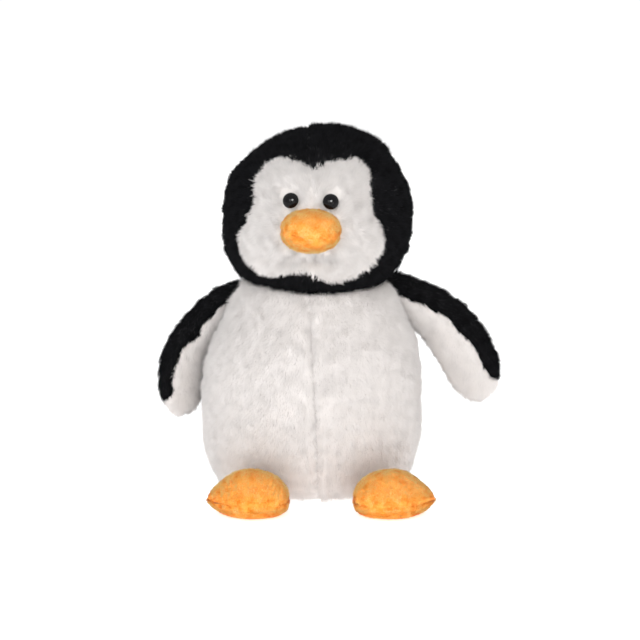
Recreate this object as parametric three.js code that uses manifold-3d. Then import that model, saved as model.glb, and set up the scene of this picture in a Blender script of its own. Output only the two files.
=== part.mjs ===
// A sewn and stuffed plush penguin: fabric panels around a stuffed core in each of its seven soft forms,
// two plastic safety eyes with their lock washers, and a pouch of pellets that keeps it upright.
// Millimetres, +Z up. It faces -Y. Left and right are the penguin's own, so its left is at +X.
// The origin is on the floor under the middle of the torso.
// A panel is as thick as its fabric and pile together.
import * as THREE from "three";
import { mergeVertices } from "three/addons/utils/BufferGeometryUtils.js";
import Module from "manifold-3d";

const wasm = await Module();
wasm.setup();

// ---- Driving dimensions -------------------------------------------------------------------------------
const PANEL = 4; // backing cloth and pile of the long plush
const SHORT_PANEL = 2.5; // backing cloth and pile of the short orange plush
const SEAM = 0.3; // room between neighbouring pieces
const PLAY = 1.5; // room between two bodies that move

const TORSO = { height: 176, halfWidth: 86.5, front: 0.84, back: 0.8, squareness: 2.3 };
// Share of the torso's height, and share of its half width there.
const TORSO_PROFILE = [
  [0, 0.64],
  [0.035, 0.82],
  [0.12, 0.935],
  [0.28, 0.985],
  [0.44, 1],
  [0.58, 0.99],
  [0.67, 0.93],
  [0.76, 0.83],
  [0.85, 0.765],
  [0.93, 0.7],
  [0.98, 0.56],
  [1, 0.4],
];
const BASE_SEAM_Z = 7; // the base panel is sewn in at this height
const SIDE_SEAM_Y = 6; // the belly panels meet the back panels here
const POUCH = { halfWidth: 50, halfDepth: 38, height: 30, equator: 0.5, opening: 20 };

const HEAD = { centre: [2, -4, 212.5], halfWidth: 74, halfDepth: 71.5, up: 73, down: 58, lean: 0.03 };
const HEAD_FULLNESS = { crown: 1.95, jaw: 2.9 }; // 2 is an ellipse, more is squarer
const CROWN_SEAM = { x: -5, tilt: 6.5 }; // the plane that parts the left panels from the right ones
// The white face patch as seen from the front, from the head's centre: x and z of the seam's turning points.
const FACE_OUTLINE = [
  [0, 47], // peak between the brows
  [24, 55], // left brow
  [41, 43],
  [41, 22], // left temple
  [53, -7], // left cheek
  [43, -31],
  [14, -42], // left jowl
  [-10, -34], // notch under the chin
  [-30, -37], // right jowl
  [-50, -29],
  [-60, -11], // right cheek
  [-48, 17], // right temple
  [-46, 42],
  [-24, 55], // right brow
];

const EYE = { radius: 6, dome: 4.5, rim: 0.6, seat: 0.6, shank: 2, shankLength: 15, hole: 2.3 };
const EYE_WASHER = { radius: 6.5, thickness: 1.6, gap: 1 };
const EYE_PLACES = { left: [11, 22], right: [-22, 22] }; // x and z from the head's centre

const BEAK = { centre: [-3, -71, 210], halfWidth: 23.5, halfHeight: 17.5, halfDepth: 27 };
const BEAK_SEAM = { drop: 3.5, roll: 5 }; // the seam between the halves, below the middle and a little askew

// A flipper's centreline runs in the XZ plane at its own depth. thickness is a share of the width.
const FLIPPER = { depth: 7, length: 120, thickness: 0.56 };
const FLIPPER_WIDTHS = [14.5, 19, 23, 25.5, 26, 24, 20]; // half widths in even steps along it
const FLIPPER_TIP = { start: 0.8, roundness: 2.4 }; // it rounds off from this share of its length
const FLIPPER_ROOT = { length: 0.06, blunt: 0.35 };
// The seams at the trailing edge, in degrees round, and at the leading edge, which unwraps towards the tip.
const FLIPPER_SEAM = { trail: 186, unwrap: 0.45, runOut: 12, reach: 40 };
const FLIPPERS = {
  left: {
    side: 1,
    line: [[50, 162], [72, 152], [94, 133], [108.5, 111], [118.5, 91], [125, 71]],
    twist: 14,
    wrap: 78, // how far the black panel wraps round the leading edge onto the inner face, in degrees
    hinge: [68, 150],
    lifts: [-8, 8, 24, 40],
  },
  right: {
    side: -1,
    line: [[-50, 155], [-66, 145], [-83, 127], [-95, 107], [-100, 85], [-100, 62]],
    twist: 42,
    wrap: 62,
    hinge: [-67, 148],
    lifts: [0, 18, 36, 54],
  },
};

// A foot is a pod with a round inner end and a pointed outer one.
const FOOT = { halfLength: 32, halfDepth: 29, top: 35, seamZ: 12, soleFlatness: 1.6 };
const FOOT_PROFILE = [
  [-1, 0],
  [-0.95, 0.38],
  [-0.7, 0.78],
  [-0.2, 1],
  [0.3, 0.9],
  [0.7, 0.5],
  [0.95, 0.16],
  [1, 0],
];
const FEET = {
  left: { side: 1, centre: [59, -88], yaw: 8 },
  right: { side: -1, centre: [-50, -88], yaw: 4 },
};
const FOOT_HINGE = [-66, 10]; // y and z
const FOOT_FLEXES = [0, 8, 15];

// How finely each form is meshed.
const TORSO_MESH = { sides: 28, rings: 13 };
const CLEARANCE_MESH = { sides: 18, rings: 9 };
const HEAD_MESH = { sides: 28, rings: 14 };
const BEAK_MESH = { sides: 18, rings: 10 };
const FLIPPER_MESH = { sides: 16, rings: 10, crowding: 1.35 }; // rings crowd towards the tip
const FOOT_MESH = { sides: 14, rings: 10 };
const POUCH_MESH = { sides: 16, rings: 8 };
const EYE_SIDES = 20;
const FACE_STEPS = 36;
const SEAM_STEPS = 8;

// ---- Solids -------------------------------------------------------------------------------------------
function solidOf(geometry) {
  const bare = geometry.clone();
  bare.deleteAttribute("normal");
  bare.deleteAttribute("uv");
  const merged = mergeVertices(bare, 1e-4);
  const kept = [];
  const index = merged.index.array;
  for (let i = 0; i < index.length; i += 3) {
    const [a, b, c] = [index[i], index[i + 1], index[i + 2]];
    if (a !== b && b !== c && c !== a) kept.push(a, b, c);
  }
  const make = (triVerts) =>
    new wasm.Manifold(
      new wasm.Mesh({ numProp: 3, vertProperties: merged.attributes.position.array, triVerts }),
    );
  const solid = make(new Uint32Array(kept));
  return solid.volume() > 0 ? solid : make(new Uint32Array(kept.reverse()));
}

function geometryOf(solid) {
  const made = solid.getMesh();
  return new THREE.BufferGeometry()
    .setAttribute("position", new THREE.BufferAttribute(made.vertProperties, 3))
    .setIndex(new THREE.BufferAttribute(made.triVerts, 1));
}

function block(x0, x1, y0, y1, z0, z1) {
  const geometry = new THREE.BoxGeometry(x1 - x0, y1 - y0, z1 - z0);
  return geometry.translate((x0 + x1) / 2, (y0 + y1) / 2, (z0 + z1) / 2);
}

// Moves each vertex of a geometry to move(x, y, z).
function reshape(geometry, move) {
  const place = geometry.attributes.position;
  for (let i = 0; i < place.count; i++) {
    place.setXYZ(i, ...move(place.getX(i), place.getY(i), place.getZ(i)));
  }
  return geometry;
}

function turned(geometry, pivot, axis, degrees) {
  const back = new THREE.Matrix4().makeTranslation(...pivot);
  const angle = THREE.MathUtils.degToRad(degrees);
  const turn = new THREE.Matrix4().makeRotationAxis(new THREE.Vector3(...axis), angle);
  const there = new THREE.Matrix4().makeTranslation(...pivot.map((v) => -v));
  return geometry.clone().applyMatrix4(back.multiply(turn).multiply(there));
}

// What a fixed geometry sweeps out as seen from a piece that turns through these angles.
function sweptBy(geometry, pivot, axis, angles) {
  return angles
    .map((degrees) => solidOf(turned(geometry, pivot, axis, -degrees)))
    .reduce((all, one) => all.add(one));
}

const WIDE = 400; // larger than the toy
const FACE_DEPTH = 120; // deeper than the head's front half
const NARROWEST = 0.02; // keeps a tapered end from closing to nothing
const half = {
  left: (x = 0) => block(x + SEAM / 2, WIDE, -WIDE, WIDE, -WIDE, WIDE),
  right: (x = 0) => block(-WIDE, x - SEAM / 2, -WIDE, WIDE, -WIDE, WIDE),
};

// ---- Forms --------------------------------------------------------------------------------------------
// The torso's outer form, taken in by inset all round.
function torsoForm(inset, { sides, rings } = TORSO_MESH) {
  const points = new THREE.SplineCurve(
    TORSO_PROFILE.map(([z, w]) => new THREE.Vector2(w * TORSO.halfWidth, z * TORSO.height)),
  ).getPoints(rings);
  const middle = TORSO.height / 2;
  const wall = points.map(
    (p) => new THREE.Vector2(p.x - inset, middle + (p.y - middle) * (1 - inset / middle)),
  );
  const profile = [new THREE.Vector2(0, wall[0].y), ...wall, new THREE.Vector2(0, wall.at(-1).y)];
  const lathe = new THREE.LatheGeometry(profile, sides).rotateX(Math.PI / 2);
  return reshape(lathe, (x, y, z) => {
    const radius = Math.hypot(x, y);
    if (radius < 1e-6) return [0, 0, z];
    const [c, s] = [x / radius, y / radius];
    const power = TORSO.squareness;
    const fuller = (Math.abs(c) ** power + Math.abs(s) ** power) ** (-1 / power);
    return [x * fuller, y * fuller * (y < 0 ? TORSO.front : TORSO.back), z];
  });
}

// The head's outer form, taken in by inset all round.
function headForm(inset, halfDepth = HEAD.halfDepth) {
  const [cx, cy, cz] = HEAD.centre;
  return reshape(new THREE.SphereGeometry(1, HEAD_MESH.sides, HEAD_MESH.rings), (x, y, z) => {
    const power = z > 0 ? HEAD_FULLNESS.crown : HEAD_FULLNESS.jaw;
    const full = (Math.hypot(x, y) ** power + Math.abs(z) ** power) ** (-1 / power);
    const rise = z * full * ((z > 0 ? HEAD.up : HEAD.down) - inset);
    const lean = Math.max(0, rise) * HEAD.lean;
    const wide = x * full * (HEAD.halfWidth - inset);
    return [cx + wide + lean, cy + y * full * (halfDepth - inset), cz + rise];
  });
}

function faceCutter(grow) {
  const [cx, , cz] = HEAD.centre;
  const points = FACE_OUTLINE.map(([x, z]) => {
    const out = new THREE.Vector2(x, z);
    return out.setLength(out.length() + grow).add(new THREE.Vector2(cx, cz));
  });
  const corners = points.map((p) => new THREE.Vector3(p.x, p.y, 0));
  const outline = new THREE.CatmullRomCurve3(corners, true);
  const shape = new THREE.Shape(outline.getPoints(FACE_STEPS).map((p) => new THREE.Vector2(p.x, p.y)));
  // The outline's plane is turned upright and pushed forwards from the head's middle.
  return new THREE.ExtrudeGeometry(shape, { depth: FACE_DEPTH, bevelEnabled: false }).rotateX(Math.PI / 2);
}

function beakForm(inset) {
  const [cx, cy, cz] = BEAK.centre;
  const sizes = [BEAK.halfWidth, BEAK.halfDepth, BEAK.halfHeight].map((v) => v - inset);
  const round = new THREE.SphereGeometry(1, BEAK_MESH.sides, BEAK_MESH.rings);
  return round.scale(...sizes).translate(cx, cy, cz);
}

function interpolate(values, share) {
  const at = Math.min(share, 0.9999) * (values.length - 1);
  const low = Math.floor(at);
  return values[low] + (values[low + 1] - values[low]) * (at - low);
}

// A flipper's middle at this share of the way from shoulder to tip, and the directions along it, across it
// to the leading edge, and out of its inner face.
function flipperFrame(flipper, share) {
  const places = flipper.line.map(([x, z]) => new THREE.Vector3(x, FLIPPER.depth, z));
  const line = new THREE.CatmullRomCurve3(places);
  const along = line.getTangentAt(share);
  const outward = new THREE.Vector3(-along.z * flipper.side, 0, along.x * flipper.side);
  const forward = new THREE.Vector3(0, -1, 0);
  const twist = THREE.MathUtils.degToRad(flipper.twist);
  return {
    middle: line.getPointAt(share),
    along,
    across: outward.clone().multiplyScalar(Math.cos(twist)).addScaledVector(forward, Math.sin(twist)),
    inner: forward.multiplyScalar(Math.cos(twist)).addScaledVector(outward, -Math.sin(twist)),
  };
}

// A place on a flipper's form, as many degrees round from the leading edge, by way of the inner face.
function flipperPlace(flipper, share, degrees, inset) {
  const inside = share * (1 - (2 * inset) / FLIPPER.length) + inset / FLIPPER.length;
  const { middle, across, inner } = flipperFrame(flipper, inside);
  const tip = Math.max(0, (share - FLIPPER_TIP.start) / (1 - FLIPPER_TIP.start));
  const root = Math.min(1, share / FLIPPER_ROOT.length + FLIPPER_ROOT.blunt);
  const taper = Math.sqrt(Math.max(0, 1 - tip ** FLIPPER_TIP.roundness) * root);
  const width = interpolate(FLIPPER_WIDTHS, share);
  const angle = THREE.MathUtils.degToRad(degrees);
  const halfWidth = Math.max(NARROWEST, (width - inset) * taper);
  const halfThickness = Math.max(NARROWEST, (width * FLIPPER.thickness - inset) * taper);
  return middle
    .addScaledVector(across, halfWidth * Math.cos(angle))
    .addScaledVector(inner, halfThickness * Math.sin(angle));
}

function flipperForm(flipper, inset) {
  const unit = new THREE.CylinderGeometry(1, 1, 1, FLIPPER_MESH.sides, FLIPPER_MESH.rings);
  return reshape(unit, (x, y, z) => {
    const share = 1 - (0.5 + y) ** FLIPPER_MESH.crowding;
    if (Math.hypot(x, z) < 1e-6) {
      const [a, b] = [0, 180].map((degrees) => flipperPlace(flipper, share, degrees, inset));
      return a.lerp(b, 0.5).toArray();
    }
    const degrees = THREE.MathUtils.radToDeg(Math.atan2(z, x)) * -flipper.side;
    return flipperPlace(flipper, share, degrees, inset).toArray();
  });
}

function footForm(foot, inset) {
  const curve = new THREE.SplineCurve(FOOT_PROFILE.map(([x, r]) => new THREE.Vector2(Math.max(0, r), x)));
  const profile = curve.getPoints(FOOT_MESH.rings).map((p) => new THREE.Vector2(Math.max(0, p.x), p.y));
  profile[0].x = 0;
  profile.at(-1).x = 0;
  const lathe = new THREE.LatheGeometry(profile, FOOT_MESH.sides).rotateZ((-Math.PI / 2) * foot.side);
  const shares = [FOOT.halfLength - inset, FOOT.halfDepth - inset];
  reshape(lathe, (x, y, z) => {
    const upper = z * (FOOT.top - FOOT.seamZ - inset);
    const sole = Math.max(-1, z * FOOT.soleFlatness) * (FOOT.seamZ - inset);
    const rise = z > 0 ? upper : sole;
    return [x * shares[0], y * shares[1], FOOT.seamZ + rise];
  });
  return lathe
    .rotateZ(THREE.MathUtils.degToRad(foot.yaw * foot.side))
    .translate(foot.centre[0], foot.centre[1], 0);
}

// ---- Assembly -----------------------------------------------------------------------------------------
const penguin = new THREE.Group();

const MATERIALS = {
  black_plush: { color: 0x141417, roughness: 0.95 },
  white_plush: { color: 0xe9e3df, roughness: 0.95 },
  orange_plush: { color: 0xff9a3d, roughness: 0.9 },
  stuffing: { color: 0xf4f4f0, roughness: 1 },
  pouch_cloth: { color: 0xd9d2c4, roughness: 0.9 },
  eye_plastic: { color: 0x050505, roughness: 0.08 },
  washer_plastic: { color: 0xe8e8e8, roughness: 0.4 },
};

function add(name, finish, solid) {
  const material = new THREE.MeshStandardMaterial({ metalness: 0, ...MATERIALS[finish] });
  const mesh = new THREE.Mesh(geometryOf(solid), material);
  mesh.name = name;
  penguin.add(mesh);
}

// A form's outer skin, as thick as its panels, and the stuffing inside it.
function skinAndCore(form, panel) {
  return {
    skin: solidOf(form(0)).subtract(solidOf(form(panel))),
    core: solidOf(form(panel + SEAM)),
  };
}

function eyeFrame(side) {
  const [cx, cy, cz] = HEAD.centre;
  const [x, z] = EYE_PLACES[side];
  const flat = (1 - (z / HEAD.up) ** HEAD_FULLNESS.crown) ** (2 / HEAD_FULLNESS.crown);
  const y = -HEAD.halfDepth * Math.sqrt(flat - (x / HEAD.halfWidth) ** 2);
  const out = new THREE.Vector3(x / HEAD.halfWidth ** 2, y / HEAD.halfDepth ** 2, z / HEAD.up ** 2);
  const turn = new THREE.Quaternion().setFromUnitVectors(new THREE.Vector3(0, 1, 0), out.normalize());
  const place = new THREE.Vector3(cx + x, cy + y, cz + z);
  return new THREE.Matrix4().compose(place, turn, new THREE.Vector3(1, 1, 1));
}

// A round piece about an eye's axis, from depth low to depth high outside the face.
function eyeCylinder(side, radius, low, high) {
  const cylinder = new THREE.CylinderGeometry(radius, radius, high - low, EYE_SIDES);
  return solidOf(cylinder.translate(0, (low + high) / 2, 0).applyMatrix4(eyeFrame(side)));
}

function eyeSolid(side) {
  const profile = [new THREE.Vector2(0, -EYE.shankLength), new THREE.Vector2(EYE.shank, -EYE.shankLength)];
  profile.push(new THREE.Vector2(EYE.shank, EYE.seat), new THREE.Vector2(EYE.radius, EYE.seat));
  const base = EYE.seat + EYE.rim; // the dome stands on its rim, and the rim off the panel
  for (let degrees = 15; degrees < 90; degrees += 15) {
    const angle = THREE.MathUtils.degToRad(degrees);
    profile.push(new THREE.Vector2(EYE.radius * Math.cos(angle), base + EYE.dome * Math.sin(angle)));
  }
  profile.push(new THREE.Vector2(0, base + EYE.dome));
  return solidOf(new THREE.LatheGeometry(profile, EYE_SIDES).applyMatrix4(eyeFrame(side)));
}

function buildHead() {
  const { skin, core } = skinAndCore(headForm, PANEL);
  const face = skin.intersect(solidOf(faceCutter(0)));
  const hood = skin.subtract(solidOf(faceCutter(SEAM)));
  const pivot = [HEAD.centre[0] + CROWN_SEAM.x, 0, HEAD.centre[2]];
  let stuffing = core;
  const shankHoles = ["left", "right"].map((side) => {
    const washerTop = -PANEL - SEAM - EYE_WASHER.gap;
    const washerBottom = washerTop - EYE_WASHER.thickness;
    const washer = eyeCylinder(side, EYE_WASHER.radius, washerBottom, washerTop);
    add(`eye_${side}`, "eye_plastic", eyeSolid(side));
    add(`eye_washer_${side}`, "washer_plastic", washer.subtract(eyeCylinder(side, EYE.hole, -WIDE, WIDE)));
    stuffing = stuffing
      .subtract(eyeCylinder(side, EYE.hole, -EYE.shankLength - SEAM, 0))
      .subtract(eyeCylinder(side, EYE_WASHER.radius + SEAM, washerBottom - SEAM, 0));
    return eyeCylinder(side, EYE.hole, -EYE.shankLength, EYE.dome);
  });
  for (const side of ["left", "right"]) {
    const cut = solidOf(turned(half[side](pivot[0]), pivot, [0, 1, 0], CROWN_SEAM.tilt));
    let patch = face.intersect(cut);
    for (const hole of shankHoles) patch = patch.subtract(hole);
    add(`face_panel_${side}`, "white_plush", patch);
    add(`hood_panel_${side}`, "black_plush", hood.intersect(cut));
  }
  add("head_stuffing", "stuffing", stuffing);
}

function buildBeak() {
  const outsideHead = solidOf(headForm(-SEAM));
  const { skin, core } = skinAndCore(beakForm, SHORT_PANEL);
  const seamZ = BEAK.centre[2] - BEAK_SEAM.drop;
  const pivot = [BEAK.centre[0], 0, seamZ];
  const upper = block(-WIDE, WIDE, -WIDE, WIDE, seamZ + SEAM / 2, WIDE);
  const lower = block(-WIDE, WIDE, -WIDE, WIDE, -WIDE, seamZ - SEAM / 2);
  for (const [name, part] of Object.entries({ upper, lower })) {
    const cut = solidOf(turned(part, pivot, [0, 1, 0], BEAK_SEAM.roll));
    add(`beak_${name}`, "orange_plush", skin.subtract(outsideHead).intersect(cut));
  }
  add("beak_stuffing", "stuffing", core.subtract(outsideHead));
}

function buildTorso() {
  // The head turns in this dish, so it is round about the head's upright axis.
  const dish = solidOf(headForm(-PLAY, HEAD.halfWidth));
  const { skin, core } = skinAndCore(torsoForm, PANEL);
  const wall = skin.subtract(dish);
  const above = (z) => solidOf(block(-WIDE, WIDE, -WIDE, WIDE, z, WIDE));
  const tube = wall.intersect(above(BASE_SEAM_Z + SEAM));
  for (const side of ["left", "right"]) {
    const sided = tube.intersect(solidOf(half[side]()));
    const front = solidOf(block(-WIDE, WIDE, -WIDE, SIDE_SEAM_Y - SEAM, -WIDE, WIDE));
    const rear = solidOf(block(-WIDE, WIDE, SIDE_SEAM_Y, WIDE, -WIDE, WIDE));
    add(`belly_panel_${side}`, "white_plush", sided.intersect(front));
    add(`back_panel_${side}`, "black_plush", sided.intersect(rear));
  }
  add("base_panel", "white_plush", wall.subtract(above(BASE_SEAM_Z)));

  const floor = PANEL + 2 * SEAM;
  const rise = POUCH.height / (1 + POUCH.equator);
  const pouchForm = (grow) =>
    reshape(new THREE.SphereGeometry(1, POUCH_MESH.sides, POUCH_MESH.rings), (x, y, z) => [
      x * (POUCH.halfWidth + grow),
      y * (POUCH.halfDepth + grow),
      floor - grow + Math.max(0, z + POUCH.equator) * (rise + 2 * grow),
    ]);
  const reach = POUCH.opening;
  const mouth = block(-reach, reach, -reach, reach, 0, 2 * PANEL); // opens the pouch's room downwards
  const pouchRoom = solidOf(pouchForm(SEAM)).add(solidOf(mouth));
  add("pellet_pouch", "pouch_cloth", solidOf(pouchForm(0)));
  add("torso_stuffing", "stuffing", core.subtract(dish).subtract(pouchRoom));
}

// The torso with room round it for a piece that moves against it.
function clearOfTorso() {
  return torsoForm(-2 * PLAY, CLEARANCE_MESH);
}

function buildFlipper(side) {
  const flipper = FLIPPERS[side];
  const pivot = [flipper.hinge[0], FLIPPER.depth, flipper.hinge[1]];
  const axis = [0, -flipper.side, 0]; // a positive angle lifts the flipper
  const head = headForm(-PLAY, HEAD.halfWidth);
  const body = sweptBy(clearOfTorso(), pivot, axis, flipper.lifts)
    .add(sweptBy(head, pivot, axis, flipper.lifts));
  const { skin, core } = skinAndCore((inset) => flipperForm(flipper, inset), PANEL);
  const inner = wrapCutter(flipper, 0);
  const outer = wrapCutter(flipper, SEAM);
  const free = skin.subtract(body);
  add(`flipper_${side}_inner`, "white_plush", free.intersect(inner));
  add(`flipper_${side}_outer`, "black_plush", free.subtract(outer));
  add(`flipper_${side}_stuffing`, "stuffing", core.subtract(body));
}

// What lies on the inner side of the seams that run along a flipper's two edges.
function wrapCutter(flipper, grow) {
  return solidOf(
    reshape(new THREE.BoxGeometry(1, 1, 1, 1, SEAM_STEPS, 1), (x, y, z) => {
      const share = 0.5 - y;
      const { along, across, inner } = flipperFrame(flipper, share);
      const lead = flipper.wrap * (1 - FLIPPER_SEAM.unwrap * share);
      const place =
        z > 0
          ? flipperPlace(flipper, share, lead, 0).addScaledVector(across, grow)
          : flipperPlace(flipper, share, FLIPPER_SEAM.trail, 0).addScaledVector(across, -PANEL - grow);
      place.addScaledVector(inner, x > 0 ? FLIPPER_SEAM.reach : -grow);
      if (Math.abs(y) > 0.49) place.addScaledVector(along, -Math.sign(y) * FLIPPER_SEAM.runOut);
      return place.toArray();
    }),
  );
}

function buildFoot(side) {
  const foot = FEET[side];
  const pivot = [foot.centre[0], ...FOOT_HINGE];
  const body = sweptBy(clearOfTorso(), pivot, [-1, 0, 0], FOOT_FLEXES);
  const { skin, core } = skinAndCore((inset) => footForm(foot, inset), SHORT_PANEL);
  const free = skin.subtract(body);
  const upper = solidOf(block(-WIDE, WIDE, -WIDE, WIDE, FOOT.seamZ + SEAM, WIDE));
  const lower = solidOf(block(-WIDE, WIDE, -WIDE, WIDE, -WIDE, FOOT.seamZ));
  add(`foot_${side}_upper`, "orange_plush", free.intersect(upper));
  add(`foot_${side}_sole`, "orange_plush", free.intersect(lower));
  add(`foot_${side}_stuffing`, "stuffing", core.subtract(body));
}

buildTorso();
buildHead();
buildBeak();
for (const side of ["left", "right"]) {
  buildFlipper(side);
  buildFoot(side);
}

export default penguin;
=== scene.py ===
"""Looks of the plush penguin: sewn and stuffed cloth forms, each with a pile of soft fur set into it.

Each soft form starts as a smooth pattern, is blown out by its stuffing in a cloth simulation, and is then
parted along its seams into the panels it is sewn from. The pile is short locks of fibre rooted in the cloth.
Shapes are worked out in millimetres and made in metres.
"""

import math

import bpy
import numpy as np
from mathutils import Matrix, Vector


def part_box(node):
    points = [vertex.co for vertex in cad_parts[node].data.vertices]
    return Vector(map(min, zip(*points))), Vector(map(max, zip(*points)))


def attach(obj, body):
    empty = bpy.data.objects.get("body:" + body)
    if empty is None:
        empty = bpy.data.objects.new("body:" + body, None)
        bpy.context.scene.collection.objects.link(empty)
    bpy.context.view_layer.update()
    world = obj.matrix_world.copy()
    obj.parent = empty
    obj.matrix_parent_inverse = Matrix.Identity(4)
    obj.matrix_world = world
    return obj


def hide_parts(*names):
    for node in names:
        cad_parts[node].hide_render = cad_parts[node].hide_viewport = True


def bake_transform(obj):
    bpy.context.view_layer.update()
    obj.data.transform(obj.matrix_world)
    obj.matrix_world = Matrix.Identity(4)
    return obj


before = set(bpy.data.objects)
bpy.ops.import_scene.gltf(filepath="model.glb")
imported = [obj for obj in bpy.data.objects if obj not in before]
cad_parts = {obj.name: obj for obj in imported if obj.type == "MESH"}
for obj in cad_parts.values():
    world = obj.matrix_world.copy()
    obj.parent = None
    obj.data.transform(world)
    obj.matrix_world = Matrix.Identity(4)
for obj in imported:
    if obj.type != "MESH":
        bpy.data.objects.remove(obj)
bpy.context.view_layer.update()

MM = 0.001
TAU = 2 * math.pi

LONG_PILE = 4.0  # how far the long plush stands off its cloth
SHORT_PILE = 1.3  # the same for the short orange plush
FAR = 99.0  # a distance that is too far to matter
SEAM_WIDTH = 3.0  # how far from a seam the cloth is drawn down to it
SEAM_PUCKER = 0.35  # how much that depth varies along the seam


# ---- Numbers -------------------------------------------------------------------------------------------
def unit(v):
    """Directions of length 1."""
    return v / np.maximum(np.linalg.norm(v, axis=-1, keepdims=True), 1e-9)


def smooth(x, low, high):
    t = np.clip((x - low) / (high - low), 0, 1)
    return t * t * (3 - 2 * t)


def bump_at(p, centre, spread):
    """1 at the centre, falling away over the spread along each axis."""
    return np.exp(-np.sum(((p - np.array(centre, float)) / np.array(spread, float)) ** 2, axis=-1))


def curve(points, t):
    """Places along a smooth line through the points, at shares t of the way in equal steps of the points."""
    points = np.array(points, float)
    n = len(points) - 1
    at = np.clip(np.asarray(t, float) * n, 0, n - 1e-9)
    i = at.astype(int)
    f = (at - i)[..., None]
    p0 = points[np.maximum(i - 1, 0)]
    p1, p2 = points[i], points[i + 1]
    p3 = points[np.minimum(i + 2, n)]
    return 0.5 * (
        2 * p1 + (p2 - p0) * f + (2 * p0 - 5 * p1 + 4 * p2 - p3) * f**2 + (3 * p1 - p0 - 3 * p2 + p3) * f**3
    )


def even_curve(points, count):
    """The same line as count + 1 places that lie evenly along it."""
    fine = curve(points, np.linspace(0, 1, 400))
    run = np.concatenate([[0], np.cumsum(np.linalg.norm(np.diff(fine, axis=0), axis=1))])
    at = np.linspace(0, run[-1], count + 1)
    return np.stack([np.interp(at, run, fine[:, k]) for k in range(fine.shape[1])], axis=1)


class Ripple:
    """A smooth uneven field over space, from -1 to 1 or so: waves of about this length in every direction."""

    def __init__(self, seed, length, channels=1, waves=14):
        rng = np.random.default_rng(seed)
        directions = unit(rng.normal(size=(waves, 3)))
        self.waves = directions * TAU / (length * rng.uniform(0.75, 1.5, (waves, 1)))
        self.start = rng.uniform(0, TAU, (waves, channels))

    def __call__(self, p):
        phase = p @ self.waves.T
        total = np.sin(phase[:, :, None] + self.start[None]).sum(axis=1) * math.sqrt(2 / len(self.waves))
        return total if total.shape[1] > 1 else total[:, 0]


class Box:
    """The room that some CAD nodes take, in millimetres."""

    def __init__(self, *nodes):
        corners = [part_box(node) for node in nodes]
        self.low = np.min([np.array(low) for low, _ in corners], axis=0) / MM
        self.high = np.max([np.array(high) for _, high in corners], axis=0) / MM
        self.size = self.high - self.low
        self.middle = (self.low + self.high) / 2


# ---- Cloth forms ---------------------------------------------------------------------------------------
class Form:
    """A closed cloth form: its points, its faces, and the directions out of it."""

    def __init__(self, points, faces):
        self.points = np.array(points, float)
        self.faces = faces
        self.face_out()

    def triangles(self):
        made = []
        for f in self.faces:
            made.extend((f[0], f[k], f[k + 1]) for k in range(1, len(f) - 1))
        return np.array(made)

    def face_out(self):
        """Turns the faces so that they face out of the form."""
        t = self.points[self.triangles()]
        if np.einsum("ij,ij->", t[:, 0], np.cross(t[:, 1], t[:, 2])) < 0:
            self.faces = [tuple(reversed(f)) for f in self.faces]

    def out(self):
        tri = self.triangles()
        t = self.points[tri]
        normal = np.cross(t[:, 1] - t[:, 0], t[:, 2] - t[:, 0])
        total = np.zeros_like(self.points)
        for k in range(3):
            np.add.at(total, tri[:, k], normal)
        return unit(total)


def ringed(rings, sides, place):
    """A closed form of rings of points, with place(share from pole to pole, angle) for each."""
    share = np.arange(1, rings) / rings
    angle = TAU * np.arange(sides) / sides
    grid = place(np.repeat(share, sides), np.tile(angle, rings - 1))
    poles = place(np.array([0.0, 1.0]), np.zeros(2))
    points = np.vstack([grid, poles])
    first, last = len(grid), len(grid) + 1
    faces = []
    for j in range(sides):
        k = (j + 1) % sides
        faces.append((first, k, j))
        faces.append((last, (rings - 2) * sides + j, (rings - 2) * sides + k))
        for i in range(rings - 2):
            a = i * sides
            faces.append((a + j, a + k, a + sides + k, a + sides + j))
    return Form(points, faces)


def mesh_of(name, points, faces):
    mesh = bpy.data.meshes.new(name)
    mesh.from_pydata((np.asarray(points) * MM).tolist(), [], [tuple(map(int, f)) for f in faces])
    mesh.update()
    piece = bpy.data.objects.new(name, mesh)
    bpy.context.scene.collection.objects.link(piece)
    return piece


def form_of(piece):
    """Takes an object's mesh, as its modifiers leave it, back as a form, and removes the object."""
    evaluated = piece.evaluated_get(bpy.context.evaluated_depsgraph_get())
    mesh = evaluated.to_mesh()
    points = np.zeros(len(mesh.vertices) * 3)
    mesh.vertices.foreach_get("co", points)
    faces = [tuple(p.vertices) for p in mesh.polygons]
    evaluated.to_mesh_clear()
    data = piece.data
    bpy.data.objects.remove(piece)
    bpy.data.meshes.remove(data)
    return Form(points.reshape(-1, 3) / MM, faces)


def stuffed(form, held, most, pressure=4.0, frames=20):
    """Blows a form out with its stuffing. held is how firmly each point stays, from 0 to 1, as at a seam."""
    piece = mesh_of("stuffing_run", form.points, form.faces)
    group = piece.vertex_groups.new(name="sewn")
    for i, weight in enumerate(held):
        if weight > 0.01:
            group.add([i], float(weight), "REPLACE")
    cloth = piece.modifiers.new("stuffing", "CLOTH")
    settings = cloth.settings
    settings.quality = 6
    settings.mass = 0.25
    settings.tension_stiffness = 12
    settings.compression_stiffness = 12
    settings.bending_stiffness = 0.6
    settings.use_pressure = True
    settings.uniform_pressure_force = pressure
    settings.vertex_group_mass = "sewn"
    settings.effector_weights.gravity = 0
    cloth.collision_settings.use_collision = False
    cloth.point_cache.frame_start = 1
    cloth.point_cache.frame_end = frames
    scene = bpy.context.scene
    for number in range(1, frames + 1):
        scene.frame_set(number)
    puffed = form_of(piece)
    scene.frame_set(1)
    move = puffed.points - form.points
    far = np.linalg.norm(move, axis=1, keepdims=True)
    form.points = form.points + move * (most * np.tanh(far / most) / np.maximum(far, 1e-9))
    return form


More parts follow.
